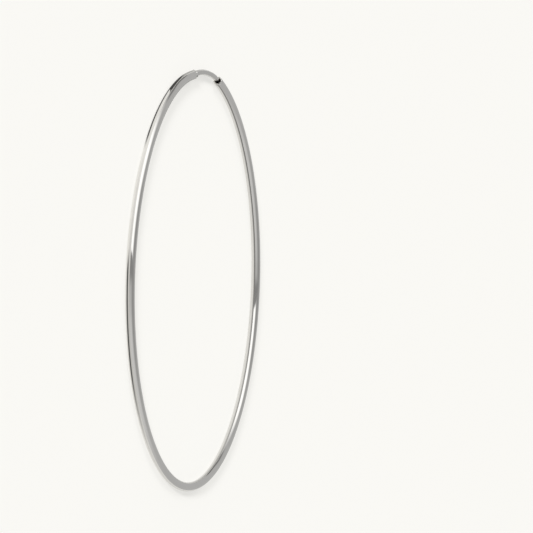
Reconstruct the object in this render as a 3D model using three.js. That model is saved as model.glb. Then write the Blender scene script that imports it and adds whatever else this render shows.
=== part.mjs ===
// An endless hoop earring: a thin polished tube bent into a ring, with a finer ear wire that leaves
// one end of the tube and springs back into the open mouth of the other.
// Millimetres, +Z up. The hoop lies on its side: its centre is the origin and z = 0 is the surface it
// rests on. Angles run around the hoop from +Y, where the ear wire is, towards +X.
import * as THREE from 'three';

const HOOP_DIAMETER = 60;
const TUBE_DIAMETER = 1.3;
const BORE_DIAMETER = 0.86;
const WIRE_DIAMETER = 0.8;

// The ear wire shows between the tube's two ends, over this angle of the hoop.
const GAP_ANGLE = THREE.MathUtils.degToRad(22);

// The mouth end of the tube is sprung outwards, and comes back to the circle over this angle.
const MOUTH_LIFT = 0.45;
const MOUTH_LIFT_ANGLE = THREE.MathUtils.degToRad(45);

// The wire is pressed into the tube's closed end and slides freely in its mouth. Just before the
// mouth it is filed down over a shoulder, so that its tip finds the bore.
const WIRE_FIXED_LENGTH = 4;
const WIRE_FREE_LENGTH = 5;
const WIRE_SHOULDER_LENGTH = 1.8;
const WIRE_SEAT = 0.09;
const WIRE_MOUTH_DIAMETER = 0.6;
const WIRE_TIP_DIAMETER = 0.44;
const WIRE_TIP_ROUNDING = 0.2;
const WIRE_END_CHAMFER = 0.08;

const SECTION_SIDES = 12;
const TUBE_STEPS = 112;
const WIRE_STEP = 0.94;

const TUBE_RADIUS = TUBE_DIAMETER / 2;
const CENTRE_RADIUS = HOOP_DIAMETER / 2 - TUBE_RADIUS;
const MOUTH_ANGLE = GAP_ANGLE / 2;
const TUBE_ANGLE = 2 * Math.PI - GAP_ANGLE;
const GAP_LENGTH = GAP_ANGLE * CENTRE_RADIUS;

// How far the tube's centreline stands outside the circle, at an angle past the mouth.
function mouthLift(anglePastMouth) {
  const share = THREE.MathUtils.clamp(anglePastMouth / MOUTH_LIFT_ANGLE, 0, 1);
  return MOUTH_LIFT * (1 - share) ** 2;
}

function tubeCentreRadius(angle) {
  return CENTRE_RADIUS + mouthLift(angle - MOUTH_ANGLE);
}

// The wire leaves the closed end in line with the tube, bows outwards, and enters the mouth along
// the outer side of the bore.
function wireCentreRadius(angle) {
  if (angle > MOUTH_ANGLE) {
    return tubeCentreRadius(angle) + WIRE_SEAT;
  }
  const share = THREE.MathUtils.clamp((angle + MOUTH_ANGLE) / GAP_ANGLE, 0, 1);
  return CENTRE_RADIUS + (MOUTH_LIFT + WIRE_SEAT) * (1 - (1 - share) ** 2);
}

// A straight lathed rod along +Y, whose section is a polygon with flats above, below and on both
// sides. A profile point's x is the distance from the axis to a flat.
function lathedRod(profile) {
  const cornerFactor = 1 / Math.cos(Math.PI / SECTION_SIDES);
  const points = profile.map(([radius, along]) => new THREE.Vector2(radius * cornerFactor, along));
  return new THREE.LatheGeometry(points, SECTION_SIDES, Math.PI / SECTION_SIDES);
}

// Bends a straight rod around the hoop: y runs along the circle from startAngle, x points outwards.
function bendAroundHoop(geometry, startAngle, centreRadius) {
  const position = geometry.getAttribute('position');
  for (let i = 0; i < position.count; i += 1) {
    const angle = startAngle + position.getY(i) / CENTRE_RADIUS;
    const radius = centreRadius(angle) + position.getX(i);
    const height = TUBE_RADIUS - position.getZ(i);
    position.setXYZ(i, radius * Math.sin(angle), radius * Math.cos(angle), height);
  }
  geometry.computeVertexNormals();
  return geometry;
}

// Both ends of the tube are open, so its profile is a closed loop: out along the outer wall and
// back along the bore.
function hoopTubeGeometry() {
  const length = TUBE_ANGLE * CENTRE_RADIUS;
  const stations = Array.from({ length: TUBE_STEPS + 1 }, (_, i) => length * i / TUBE_STEPS);
  const outer = stations.map((along) => [TUBE_RADIUS, along]);
  const bore = stations.toReversed().map((along) => [BORE_DIAMETER / 2, along]);
  const profile = [...outer, ...bore, outer[0]];
  return bendAroundHoop(lathedRod(profile), MOUTH_ANGLE, tubeCentreRadius);
}

// The wire's radius, by the distance from its pressed-in end: full, then the shoulder down to the
// mouth, then a slow taper to the tip.
function wireRadius(along) {
  const mouth = WIRE_FIXED_LENGTH + GAP_LENGTH;
  const shoulder = mouth - WIRE_SHOULDER_LENGTH;
  const { mapLinear } = THREE.MathUtils;
  if (along < shoulder) {
    return WIRE_DIAMETER / 2;
  }
  if (along < mouth) {
    return mapLinear(along, shoulder, mouth, WIRE_DIAMETER, WIRE_MOUTH_DIAMETER) / 2;
  }
  const tip = mouth + WIRE_FREE_LENGTH;
  return mapLinear(along, mouth, tip, WIRE_MOUTH_DIAMETER, WIRE_TIP_DIAMETER) / 2;
}

function earWireGeometry() {
  const length = WIRE_FIXED_LENGTH + GAP_LENGTH + WIRE_FREE_LENGTH;
  const roundingStart = length - WIRE_TIP_ROUNDING;
  const steps = Math.round((roundingStart - WIRE_END_CHAMFER) / WIRE_STEP);
  const profile = [[0, 0], [WIRE_DIAMETER / 2 - WIRE_END_CHAMFER, 0]];
  for (let i = 0; i <= steps; i += 1) {
    const along = THREE.MathUtils.lerp(WIRE_END_CHAMFER, roundingStart, i / steps);
    profile.push([wireRadius(along), along]);
  }
  profile.push([wireRadius(length) * Math.SQRT1_2, length - WIRE_TIP_ROUNDING * (1 - Math.SQRT1_2)]);
  profile.push([0, length]);
  const startAngle = -MOUTH_ANGLE - WIRE_FIXED_LENGTH / CENTRE_RADIUS;
  return bendAroundHoop(lathedRod(profile), startAngle, wireCentreRadius);
}

function whiteMetal(roughness) {
  return new THREE.MeshStandardMaterial({ color: 0xdcdbd7, metalness: 1, roughness });
}

function namedMesh(name, geometry, material) {
  const mesh = new THREE.Mesh(geometry, material);
  mesh.name = name;
  return mesh;
}

const hoopEarring = new THREE.Group();
hoopEarring.add(namedMesh('hoop_tube', hoopTubeGeometry(), whiteMetal(0.08)));
hoopEarring.add(namedMesh('ear_wire', earWireGeometry(), whiteMetal(0.14)));

export default hoopEarring;
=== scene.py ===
"""An endless hoop earring in polished white metal, lying on its side on a pale studio surface.

Metres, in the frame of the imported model: +Z up, the hoop's centre at the origin, +Y towards the ear
wire. Angles around the hoop run from +Y towards +X, as in the model.
"""
import math

import bmesh
import bpy
from mathutils import Matrix, Vector


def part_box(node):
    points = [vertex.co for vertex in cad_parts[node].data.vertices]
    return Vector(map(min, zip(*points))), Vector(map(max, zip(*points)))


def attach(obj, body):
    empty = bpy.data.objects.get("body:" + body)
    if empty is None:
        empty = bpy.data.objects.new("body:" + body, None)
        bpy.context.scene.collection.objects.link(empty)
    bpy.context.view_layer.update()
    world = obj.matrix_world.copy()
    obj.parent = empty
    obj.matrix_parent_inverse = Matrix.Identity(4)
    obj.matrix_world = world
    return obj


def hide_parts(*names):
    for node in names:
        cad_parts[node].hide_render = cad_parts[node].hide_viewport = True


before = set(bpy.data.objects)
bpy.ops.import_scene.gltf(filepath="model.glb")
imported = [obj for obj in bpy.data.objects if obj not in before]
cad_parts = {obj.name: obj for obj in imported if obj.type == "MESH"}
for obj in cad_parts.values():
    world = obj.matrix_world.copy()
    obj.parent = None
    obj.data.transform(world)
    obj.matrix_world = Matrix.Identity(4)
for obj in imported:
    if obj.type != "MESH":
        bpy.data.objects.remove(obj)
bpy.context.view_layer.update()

# The stock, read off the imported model.
tube_low, tube_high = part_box("hoop_tube")
wire_low, wire_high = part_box("ear_wire")
TUBE_RADIUS = (tube_high.z - tube_low.z) / 2
WIRE_RADIUS = (wire_high.z - wire_low.z) / 2
CENTRE_RADIUS = (tube_high.x - tube_low.x) / 2 - TUBE_RADIUS

# What the box doesn't tell, as in the model.
BORE_RADIUS = 0.00043
GAP_ANGLE = math.radians(22)
MOUTH_LIFT = 0.00045
MOUTH_LIFT_ANGLE = math.radians(45)
WIRE_FIXED_LENGTH = 0.004
WIRE_FREE_LENGTH = 0.005
WIRE_SHOULDER_LENGTH = 0.0018
WIRE_SEAT = 0.00009
WIRE_MOUTH_RADIUS = 0.0003
WIRE_TIP_RADIUS = 0.00022

# Finishing of the ends.
MOUTH_ROUNDING = 0.00007
CLOSED_END_ROUNDING = 0.00017
BORE_RIM_ROUNDING = 0.00002
WIRE_TIP_ROUNDING = 0.0003
WIRE_END_CHAMFER = 0.00008

TUBE_SIDES = 48
TUBE_STEPS = 240
WIRE_SIDES = 32
WIRE_STEPS = 72
RIM_SEGMENTS = 4
TIP_SEGMENTS = 6
CHAMFER_SEGMENTS = 2

# An edge is a rim where its faces turn by more than this, this close to the rim's radius.
RIM_LEAST_TURN = math.radians(60)
RIM_TOLERANCE = 0.02 * TUBE_RADIUS
# A face is the bore's where its middle is no farther from the core than this.
BORE_LIMIT = 1.001 * BORE_RADIUS

MOUTH_ANGLE = GAP_ANGLE / 2
TUBE_ANGLE = 2 * math.pi - GAP_ANGLE
WIRE_START_ANGLE = -MOUTH_ANGLE - WIRE_FIXED_LENGTH / CENTRE_RADIUS
WIRE_SHOULDER_ANGLE = MOUTH_ANGLE - WIRE_SHOULDER_LENGTH / CENTRE_RADIUS
WIRE_END_ANGLE = MOUTH_ANGLE + WIRE_FREE_LENGTH / CENTRE_RADIUS


# ---------------------------------------------------------------- shape

def smooth_step(share):
    return share * share * (3 - 2 * share)


def mouth_lift(angle_past_mouth):
    """How far the sprung end of the tube stands outside the circle."""
    share = min(max(angle_past_mouth / MOUTH_LIFT_ANGLE, 0), 1)
    return MOUTH_LIFT * (1 - share) ** 2


def wire_offset(angle):
    """How far the wire's centreline stands outside the circle."""
    if angle > MOUTH_ANGLE:
        return mouth_lift(angle - MOUTH_ANGLE) + WIRE_SEAT
    share = min(max((angle + MOUTH_ANGLE) / GAP_ANGLE, 0), 1)
    return (MOUTH_LIFT + WIRE_SEAT) * (1 - (1 - share) ** 2)


def wire_radius(angle):
    """Full as far as the shoulder, filed down to the mouth, then tapering slowly to the tip."""
    if angle < WIRE_SHOULDER_ANGLE:
        return WIRE_RADIUS
    if angle < MOUTH_ANGLE:
        share = smooth_step((angle - WIRE_SHOULDER_ANGLE) / (MOUTH_ANGLE - WIRE_SHOULDER_ANGLE))
        return WIRE_RADIUS + (WIRE_MOUTH_RADIUS - WIRE_RADIUS) * share
    share = (angle - MOUTH_ANGLE) / (WIRE_END_ANGLE - MOUTH_ANGLE)
    return WIRE_MOUTH_RADIUS + (WIRE_TIP_RADIUS - WIRE_MOUTH_RADIUS) * share


def section_circle(bm, radius, sides):
    """A ring of edges across the tube at +Y. Returns its edges."""
    across = Matrix.Rotation(math.pi / 2, 4, "Y")
    place = Matrix.Translation((0, CENTRE_RADIUS, TUBE_RADIUS)) @ across
    made = bmesh.ops.create_circle(bm, segments=sides, radius=radius, matrix=place)
    return list({edge for vert in made["verts"] for edge in vert.link_edges})


def sweep_round_hoop(bm, edges, angle, steps):
    """Spins edges round the hoop's axis, from +Y towards +X. Returns the edges of the far end."""
    verts = list({vert for edge in edges for vert in edge.verts})
    swept = bmesh.ops.spin(
        bm, geom=verts + edges, cent=(0, 0, 0), axis=(0, 0, -1), dvec=(0, 0, 0),
        angle=angle, steps=steps, use_merge=False, use_duplicate=False,
    )
    return [item for item in swept["geom_last"] if isinstance(item, bmesh.types.BMEdge)]


def turn_to(bm, angle):
    matrix = Matrix.Rotation(-angle, 3, "Z")
    bmesh.ops.rotate(bm, verts=bm.verts, cent=(0, 0, 0), matrix=matrix)


def distance_from_core(point):
    """How far a point is from the circle that runs through the middle of the tube."""
    return math.hypot(math.hypot(point.x, point.y) - CENTRE_RADIUS, point.z - TUBE_RADIUS)


def angle_round_core(vert):
    """A vertex's place round the tube's section, counted from half a side before the outermost."""
    outwards = math.hypot(vert.co.x, vert.co.y) - CENTRE_RADIUS
    angle = math.atan2(vert.co.z - TUBE_RADIUS, outwards)
    return (angle + math.pi / TUBE_SIDES) % (2 * math.pi)


def close_wall(bm, edges):
    """Makes the flat ring between the outer wall and the bore at an end of the tube."""
    verts = {vert for edge in edges for vert in edge.verts}
    middle = (TUBE_RADIUS + BORE_RADIUS) / 2
    outer = sorted((v for v in verts if distance_from_core(v.co) > middle), key=angle_round_core)
    bore = sorted((v for v in verts if distance_from_core(v.co) < middle), key=angle_round_core)
    for i in range(TUBE_SIDES):
        bm.faces.new((outer[i - 1], outer[i], bore[i], bore[i - 1]))


def round_edges(bm, edges, offset, segments):
    """Rounds edges off, in this many segments."""
    bmesh.ops.bevel(
        bm, geom=edges, offset=offset, offset_type="OFFSET", segments=segments,
        profile=0.5, affect="EDGES", material=-1, clamp_overlap=False,
    )


def rim_edges(bm, radius):
    """The sharp edges of the tube's two end faces that lie at a distance from its core.

    The end faces' normals aren't worked out when this is called, so it misses part of each outer rim.
    """
    def is_rim(edge):
        middle = (edge.verts[0].co + edge.verts[1].co) / 2
        turned = edge.is_manifold and edge.calc_face_angle(0) > RIM_LEAST_TURN
        return turned and abs(distance_from_core(middle) - radius) < RIM_TOLERANCE
    return [edge for edge in bm.edges if is_rim(edge)]


def by_end(edges):
    """Parts the rim edges of the swept tube: those at its start, at +Y, and those at its far end."""
    start = [edge for edge in edges if abs(edge.verts[0].co.x) < TUBE_RADIUS]
    return start, [edge for edge in edges if edge not in start]


def hoop_tube_mesh():
    """The tube, its mouth sprung outwards and its rims rounded where rim_edges finds them.

    The rounding is only partial, and leaves the mesh open there. The bore is of the second material.
    """
    bm = bmesh.new()
    outer = section_circle(bm, TUBE_RADIUS, TUBE_SIDES)
    bore = section_circle(bm, BORE_RADIUS, TUBE_SIDES)
    far_end = sweep_round_hoop(bm, outer + bore, TUBE_ANGLE, TUBE_STEPS)
    close_wall(bm, outer + bore)
    close_wall(bm, far_end)
    mouth_rim, closed_rim = by_end(rim_edges(bm, TUBE_RADIUS))
    round_edges(bm, mouth_rim, MOUTH_ROUNDING, RIM_SEGMENTS)
    round_edges(bm, closed_rim, CLOSED_END_ROUNDING, 2 * RIM_SEGMENTS)
    round_edges(bm, rim_edges(bm, BORE_RADIUS), BORE_RIM_ROUNDING, RIM_SEGMENTS)
    turn_to(bm, MOUTH_ANGLE)
    for face in bm.faces:
        inside = distance_from_core(face.calc_center_median()) < BORE_LIMIT
        face.material_index = 1 if inside else 0
    for vert in bm.verts:
        angle = math.atan2(vert.co.x, vert.co.y) % (2 * math.pi)
        outwards = Vector((vert.co.x, vert.co.y, 0)).normalized()
        vert.co += outwards * mouth_lift(angle - MOUTH_ANGLE)
    return bm


def ear_wire_mesh():
    """A ring of wire, drawn down to its radius and moved out to its bow at each angle."""
    bm = bmesh.new()
    fixed_end = section_circle(bm, WIRE_RADIUS, WIRE_SIDES)
    angle = WIRE_END_ANGLE - WIRE_START_ANGLE
    tip = sweep_round_hoop(bm, fixed_end, angle, WIRE_STEPS)
    bmesh.ops.holes_fill(bm, edges=fixed_end + tip, sides=WIRE_SIDES)
    round_edges(bm, tip, WIRE_TIP_ROUNDING, TIP_SEGMENTS)
    round_edges(bm, fixed_end, WIRE_END_CHAMFER, CHAMFER_SEGMENTS)
    turn_to(bm, WIRE_START_ANGLE)
    for vert in bm.verts:
        angle = math.atan2(vert.co.x, vert.co.y)
        outwards = Vector((vert.co.x, vert.co.y, 0)).normalized()
        core = outwards * CENTRE_RADIUS + Vector((0, 0, TUBE_RADIUS))
        drawn = (vert.co - core) * wire_radius(angle) / WIRE_RADIUS
        vert.co = core + outwards * wire_offset(angle) + drawn
    return bm


def mesh_object(name, bm, materials):
    """Puts a finished mesh in the scene as an object."""
    mesh = bpy.data.meshes.new(name)
    bm.to_mesh(mesh)
    bm.free()
    for material in materials:
        mesh.materials.append(material)
    made = bpy.data.objects.new(name, mesh)
    bpy.context.scene.collection.objects.link(made)
    return made


def metal_piece(name, bm, node, materials):
    """Finishes a mesh as a piece that stands for a node of the model."""
    bmesh.ops.recalc_face_normals(bm, faces=bm.faces)
    for face in bm.faces:
        face.smooth = True
    piece = mesh_object(name, bm, materials)
    even = piece.modifiers.new("even_shading", "WEIGHTED_NORMAL")
    even.mode = "FACE_AREA"
    even.keep_sharp = True
    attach(piece, "root")
    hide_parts(node)
    return piece


# ---------------------------------------------------------------- node graphs

class Graph:
    """Short forms for building a node tree."""

    def __init__(self, tree):
        self.tree = tree
        self.tree.nodes.clear()

    def node(self, kind, inputs=None, **settings):
        made = self.tree.nodes.new(kind)
        for name, value in settings.items():
            setattr(made, name, value)
        for name, value in (inputs or {}).items():
            self.feed(made.inputs[name], value)
        return made

    def feed(self, socket, value):
        if isinstance(value, bpy.types.NodeSocket):
            self.tree.links.new(value, socket)
        else:
            socket.default_value = value

    def math(self, operation, *values, clamp=False):
        made = self.node("ShaderNodeMath", operation=operation, use_clamp=clamp)
        for socket, value in zip(made.inputs, values):
            self.feed(socket, value)
        return made.outputs[0]

    def product(self, first, *others):
        for other in others:
            first = self.math("MULTIPLY", first, other)
        return first

    def smooth(self, value, low, high):
        """0 below low, 1 above high, smooth between."""
        made = self.node(
            "ShaderNodeMapRange", {"Value": value, "From Min": low, "From Max": high},
            interpolation_type="SMOOTHSTEP",
        )
        return made.outputs["Result"]

    def remap(self, value, low, high, to_low, to_high):
        made = self.node(
            "ShaderNodeMapRange",
            {"Value": value, "From Min": low, "From Max": high, "To Min": to_low, "To Max": to_high},
        )
        return made.outputs["Result"]

    def blend(self, share, first, second):
        """first where share is 0, second where it is 1; numbers."""
        made = self.node("ShaderNodeMix", data_type="FLOAT")
        for socket, value in zip(made.inputs[:1] + made.inputs[2:4], (share, first, second)):
            self.feed(socket, value)
        return made.outputs[0]

    def combine(self, x, y, z):
        return self.node("ShaderNodeCombineXYZ", {"X": x, "Y": y, "Z": z}).outputs[0]

    def from_axis(self, axes):
        """How far a point is from the hoop's axis."""
        flat = self.combine(axes["X"], axes["Y"], 0.0)
        return self.node("ShaderNodeVectorMath", {0: flat}, operation="LENGTH").outputs["Value"]


def new_material(name):
    """Returns a material and the graph of its empty node tree."""
    material = bpy.data.materials.new(name)
    material.use_nodes = True
    return material, Graph(material.node_tree)


# ---------------------------------------------------------------- metal

# Polishing lines to the metre, across the stock and along it.
LINES_ACROSS = 22000.0
LINES_ALONG = 260.0
WANDER_DEPTH = 0.000012
BORE_BLOTCH_DEPTH = 0.00001


def polished_metal(name, colour, roughness, line_depth):
    """Bright white metal with the fine lines that drawing and buffing leave along the stock."""
    material, graph = new_material(name)
    place = graph.node("ShaderNodeTexCoord").outputs["Object"]
    axes = graph.node("ShaderNodeSeparateXYZ", {"Vector": place}).outputs

    # Lines that follow the stock: fine across it, long along it.
    across = graph.combine(
        graph.math("MULTIPLY", graph.from_axis(axes), LINES_ACROSS),
        graph.math("MULTIPLY", axes["Z"], LINES_ACROSS),
        graph.math("MULTIPLY", axes["X"], LINES_ALONG),
    )
    lines = graph.node(
        "ShaderNodeTexNoise",
        {"Vector": across, "W": graph.math("MULTIPLY", axes["Y"], LINES_ALONG), "Scale": 1.0,
         "Detail": 3.0, "Roughness": 0.55},
        noise_dimensions="4D",
    ).outputs["Fac"]

    # Soft patches where handling has dulled the polish, and a slow wander of the surface.
    haze = graph.node(
        "ShaderNodeTexNoise", {"Vector": place, "Scale": 420.0, "Detail": 3.0, "Roughness": 0.6},
    ).outputs["Fac"]
    wander = graph.node(
        "ShaderNodeTexNoise", {"Vector": place, "Scale": 150.0, "Detail": 1.0},
    ).outputs["Fac"]

    tone = graph.node("ShaderNodeMix", data_type="RGBA")
    graph.feed(tone.inputs[0], graph.remap(haze, 0.35, 0.7, 0.0, 1.0))
    graph.feed(tone.inputs[6], (*colour, 1))
    graph.feed(tone.inputs[7], (*(part * 0.96 for part in colour), 1))

    dull = graph.math("MULTIPLY", graph.remap(haze, 0.4, 0.75, 0.0, 1.0), roughness * 0.5)
    scored = graph.math("MULTIPLY", graph.remap(lines, 0.5, 0.8, 0.0, 1.0), roughness * 0.6)
    gloss = graph.math("ADD", graph.math("ADD", dull, scored), roughness * 0.7)

    lined = graph.node(
        "ShaderNodeBump", {"Height": lines, "Strength": 1.0, "Distance": line_depth},
    ).outputs["Normal"]
    relief = graph.node(
        "ShaderNodeBump",
        {"Height": wander, "Strength": 1.0, "Distance": WANDER_DEPTH, "Normal": lined},
    ).outputs["Normal"]
    shader = graph.node(
        "ShaderNodeBsdfPrincipled",
        {"Base Color": tone.outputs[2], "Metallic": 1.0, "Roughness": gloss, "Normal": relief},
    )
    graph.node("ShaderNodeOutputMaterial", {"Surface": shader.outputs[0]})
    return material


def bore_metal():
    """The unpolished inside of the tube, its colour painted almost black for the shade in the bore, in
    blotches of tone.
    """
    material, graph = new_material("bore_metal")
    place = graph.node("ShaderNodeTexCoord").outputs["Object"]
    bore_blotches = graph.node(
        "ShaderNodeTexNoise", {"Vector": place, "Scale": 3500.0, "Detail": 4.0},
    ).outputs["Fac"]
    # Painted shade: both tones are almost black, standing for the shade deep in the bore.
    tone = graph.node("ShaderNodeMix", data_type="RGBA")
    graph.feed(tone.inputs[0], bore_blotches)
    graph.feed(tone.inputs[6], (0.012, 0.011, 0.01, 1))
    graph.feed(tone.inputs[7], (0.05, 0.046, 0.042, 1))
    relief = graph.node(
        "ShaderNodeBump", {"Height": bore_blotches, "Strength": 1.0, "Distance": BORE_BLOTCH_DEPTH},
    ).outputs["Normal"]
    shader = graph.node(
        "ShaderNodeBsdfPrincipled",
        {"Base Color": tone.outputs[2], "Metallic": 0.6,
         "Roughness": graph.remap(bore_blotches, 0.3, 0.7, 0.55, 0.8), "Normal": relief},
    )
    graph.node("ShaderNodeOutputMaterial", {"Surface": shader.outputs[0]})
    return material


# ---------------------------------------------------------------- studio

ROOM_LIGHT = 0.46
CEILING_LIGHT = 0.3
FLOOR_COLOUR = (0.956, 0.947, 0.913)
FLOOR_GLOW = 0.63
FLOOR_PAINT = 0.365
FLOOR_RADIUS = 3.0
FLOOR_SIDES = 96


def studio_surround():
    """A grey room with a large soft window of light on the ear wire's side of the hoop.

    Compass directions are in degrees from +X towards +Y, and heights in degrees above the surface.
    """
    world = bpy.data.worlds.new("studio")
    bpy.context.scene.world = world
    world.use_nodes = True
    graph = Graph(world.node_tree)
    towards = graph.node("ShaderNodeTexCoord").outputs["Generated"]
    height = graph.node("ShaderNodeSeparateXYZ", {"Vector": towards}).outputs["Z"]
    height = graph.math("MULTIPLY", graph.math("ARCSINE", height), 180 / math.pi)

    def compass(middle):
        """Degrees to the left or right of a compass direction, -180 to 180."""
        turned = graph.node(
            "ShaderNodeVectorRotate", {"Vector": towards, "Angle": -math.radians(middle)},
            rotation_type="Z_AXIS",
        ).outputs[0]
        axes = graph.node("ShaderNodeSeparateXYZ", {"Vector": turned}).outputs
        turn = graph.math("ARCTAN2", axes["Y"], axes["X"])
        return graph.math("MULTIPLY", turn, 180 / math.pi)

    def within(value, edges, softness):
        """Masks for a low and a high edge: their product is 1 between the two and 0 outside."""
        low, high = edges
        return (
            graph.smooth(value, low - softness[0], low + softness[0]),
            graph.smooth(value, high + softness[1], high - softness[1]),
        )

    def panel(level, light, middle, sides, side_softness, heights, height_softness):
        """Paints a panel of light over what is there, with soft borders."""
        across = within(compass(middle), sides, side_softness)
        upwards = within(height, heights, height_softness)
        return graph.blend(graph.product(*across, *upwards), level, light)

    level = graph.blend(graph.smooth(height, 30, 85), ROOM_LIGHT, CEILING_LIGHT)
    # The fill side, a little brighter than the rest of the room.
    level = panel(
        level, light=0.62, middle=245, sides=(-45, 45), side_softness=(20, 30),
        heights=(-20, 50), height_softness=(5, 20),
    )
    # The window.
    level = panel(
        level, light=1.25, middle=126, sides=(-41, 43), side_softness=(18, 2),
        heights=(-30, 50), height_softness=(5, 15),
    )
    # The gap beside the window, where the camera stands.
    level = panel(
        level, light=0.26, middle=177, sides=(-7, 7), side_softness=(2, 5),
        heights=(-30, 80), height_softness=(5, 8),
    )
    # A dark doorway low down beyond the window, its top leaning towards it.
    level = panel(
        level, light=0.22, middle=60, sides=(-8, 8), side_softness=(4, 4),
        heights=(4, 23), height_softness=(5, 6),
    )
    level = panel(
        level, light=0.04, middle=50, sides=(-9, 8), side_softness=(4, 4),
        heights=(-30, 9), height_softness=(5, 5),
    )

    background = graph.node("ShaderNodeBackground", {"Color": (1, 0.996, 0.985, 1), "Strength": level})
    graph.node("ShaderNodeOutputWorld", {"Surface": background.outputs[0]})


def soft_light(name, direction, energy, width):
    """Light that falls on the board from a direction, and that the metal doesn't show."""
    light = bpy.data.lights.new(name, "SUN")
    light.energy = energy
    light.angle = math.radians(width)
    lamp = bpy.data.objects.new(name, light)
    lamp.rotation_mode = "QUATERNION"
    lamp.rotation_quaternion = Vector(direction).to_track_quat("Z", "Y")
    lamp.visible_glossy = False
    bpy.context.scene.collection.objects.link(lamp)


def painted_shade_in_metal(graph, axes):
    """Painted shade on the board, shown only in the metal's reflections: almost full brightness beside
    the tube, greyer away from it.
    """
    y = axes["Y"]
    # Millimetres outside the ring's circle, and degrees around the hoop.
    off_ring = graph.math("SUBTRACT", graph.from_axis(axes), CENTRE_RADIUS)
    off_ring = graph.math("MULTIPLY", off_ring, 1000.0)
    turn = graph.math("ARCTAN2", axes["X"], y)
    turn = graph.math("MULTIPLY", turn, 180 / math.pi)

    # Painted shade: inside the ring the board darkens towards the ear wire.
    grey_inside = graph.remap(y, -0.02, 0.004, 0.5, 0.2)
    inside = graph.blend(graph.smooth(off_ring, -0.6, -2.2), 0.88, grey_inside)

    # Painted shade outside it: the board is lighter at both ends, and grey again just beside the ear
    # wire.
    grey_outside = graph.remap(y, -0.01, 0.018, 0.6, 0.92)
    grey_outside = graph.blend(graph.smooth(y, -0.022, -0.027), grey_outside, 0.78)
    outside = graph.blend(graph.smooth(off_ring, 0.5, 1.2), 0.97, grey_outside)
    by_wire = graph.product(graph.smooth(turn, -19, -13), graph.smooth(turn, 10, 4))
    outside = graph.blend(by_wire, outside, 0.5)
    share = graph.blend(graph.smooth(off_ring, -0.1, 0.1), inside, outside)

    # A painted shadow, a thin dark line, follows the tube on its lower half, away from the ear wire.
    painted_shadow_line = graph.product(
        graph.smooth(off_ring, 0.45, 0.8), graph.smooth(off_ring, 1.7, 1.2),
        graph.smooth(y, -0.024, -0.014), graph.smooth(y, 0.003, -0.001),
    )
    share = graph.blend(painted_shadow_line, share, 0.1)

    # Painted shade carries the doorway's dark over the board, and widens towards the ear wire.
    reach = graph.math("SUBTRACT", off_ring, graph.remap(turn, -30, -22, 0.75, 6.0))
    painted_doorway_shade = graph.product(
        graph.smooth(turn, -57, -51), graph.smooth(turn, -13, -19),
        graph.smooth(reach, 0.3, -0.2), graph.smooth(off_ring, -0.15, 0.0),
    )
    return graph.blend(painted_doorway_shade, share, 0.08)


def studio_floor():
    """A pale matt board that glows evenly, as if lit from below, so that shadows stay faint on it."""
    material, graph = new_material("pale_board")
    place = graph.node("ShaderNodeTexCoord").outputs["Object"]
    axes = graph.node("ShaderNodeSeparateXYZ", {"Vector": place}).outputs
    # In the metal's reflections the board's colour is painted with shade; to the camera it stays even.
    in_metal = graph.node("ShaderNodeLightPath").outputs["Is Glossy Ray"]
    share = graph.blend(in_metal, 1.0, painted_shade_in_metal(graph, axes))
    tone = graph.node("ShaderNodeVectorMath", {0: FLOOR_COLOUR}, operation="SCALE")
    graph.feed(tone.inputs["Scale"], share)
    paint = graph.node("ShaderNodeVectorMath", {0: tone.outputs[0]}, operation="SCALE")
    graph.feed(paint.inputs["Scale"], FLOOR_PAINT)
    glow = graph.node("ShaderNodeEmission", {"Color": tone.outputs[0], "Strength": FLOOR_GLOW})
    matt = graph.node("ShaderNodeBsdfDiffuse", {"Color": paint.outputs[0]})
    both = graph.node("ShaderNodeAddShader", {0: glow.outputs[0], 1: matt.outputs[0]})
    graph.node("ShaderNodeOutputMaterial", {"Surface": both.outputs[0]})

    bm = bmesh.new()
    bmesh.ops.create_circle(bm, cap_ends=True, segments=FLOOR_SIDES, radius=FLOOR_RADIUS)
    mesh_object("studio_floor", bm, [material])


# ---------------------------------------------------------------- camera

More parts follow.
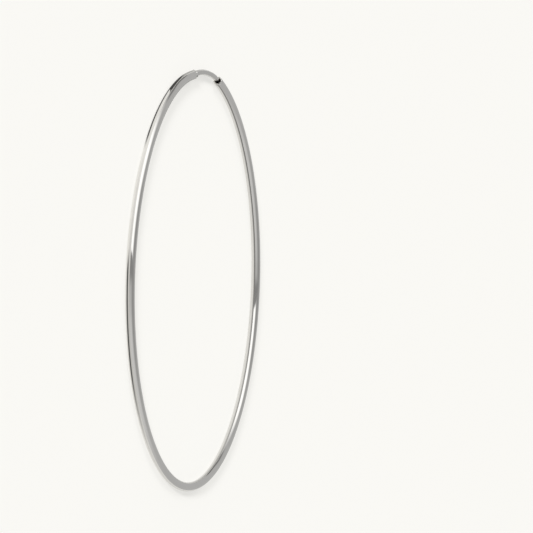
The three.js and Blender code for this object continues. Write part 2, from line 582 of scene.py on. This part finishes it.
CAMERA_DISTANCE = 0.6193
CAMERA_COMPASS = math.radians(183.55)
CAMERA_HEIGHT = math.radians(17.66)
CAMERA_ROLL = math.radians(1.71)
CAMERA_LENS = 293.9
AIM_ASIDE = 0.01006
AIM_UPWARD = 0.002


def camera():
    """Low over the surface and turned on its side, so that the ear wire is at the picture's top."""
    low = math.cos(CAMERA_HEIGHT)
    back = Vector((
        math.cos(CAMERA_COMPASS) * low, math.sin(CAMERA_COMPASS) * low, math.sin(CAMERA_HEIGHT),
    ))
    up = Vector((math.sin(CAMERA_COMPASS), -math.cos(CAMERA_COMPASS), 0))
    right = up.cross(back)
    roll = Matrix.Rotation(CAMERA_ROLL, 3, back)
    up, right = roll @ up, roll @ right

    hoop_centre = Vector((0, 0, TUBE_RADIUS))
    place = hoop_centre + back * CAMERA_DISTANCE
    aim = hoop_centre + right * AIM_ASIDE + up * AIM_UPWARD
    back = (place - aim).normalized()
    right = up.cross(back).normalized()
    up = back.cross(right)

    data = bpy.data.cameras.new("camera")
    data.lens = CAMERA_LENS
    data.clip_start = 0.01
    data.clip_end = 10
    eye = bpy.data.objects.new("camera", data)
    eye.matrix_world = Matrix.Translation(place) @ Matrix((right, up, back)).transposed().to_4x4()
    bpy.context.scene.collection.objects.link(eye)
    bpy.context.scene.camera = eye


# ---------------------------------------------------------------- assembly

camera()
# The key comes over the ear wire. The low light, from the camera's side, throws the faint shadow
# beyond the tube.
soft_light("key_light", (-0.25, 1.0, 1.1), 0.65, 24)
soft_light("low_light", (-1.0, 0.2, 0.235), 4.5, 7)
studio_surround()
studio_floor()
bpy.context.scene.view_settings.view_transform = "Standard"

tube_metals = [polished_metal("polished_tube", (0.86, 0.85, 0.83), 0.07, 0.0000004), bore_metal()]
wire_metals = [polished_metal("drawn_wire", (0.8, 0.79, 0.77), 0.11, 0.0000008)]
metal_piece("polished_hoop", hoop_tube_mesh(), "hoop_tube", tube_metals)
metal_piece("bowed_ear_wire", ear_wire_mesh(), "ear_wire", wire_metals)
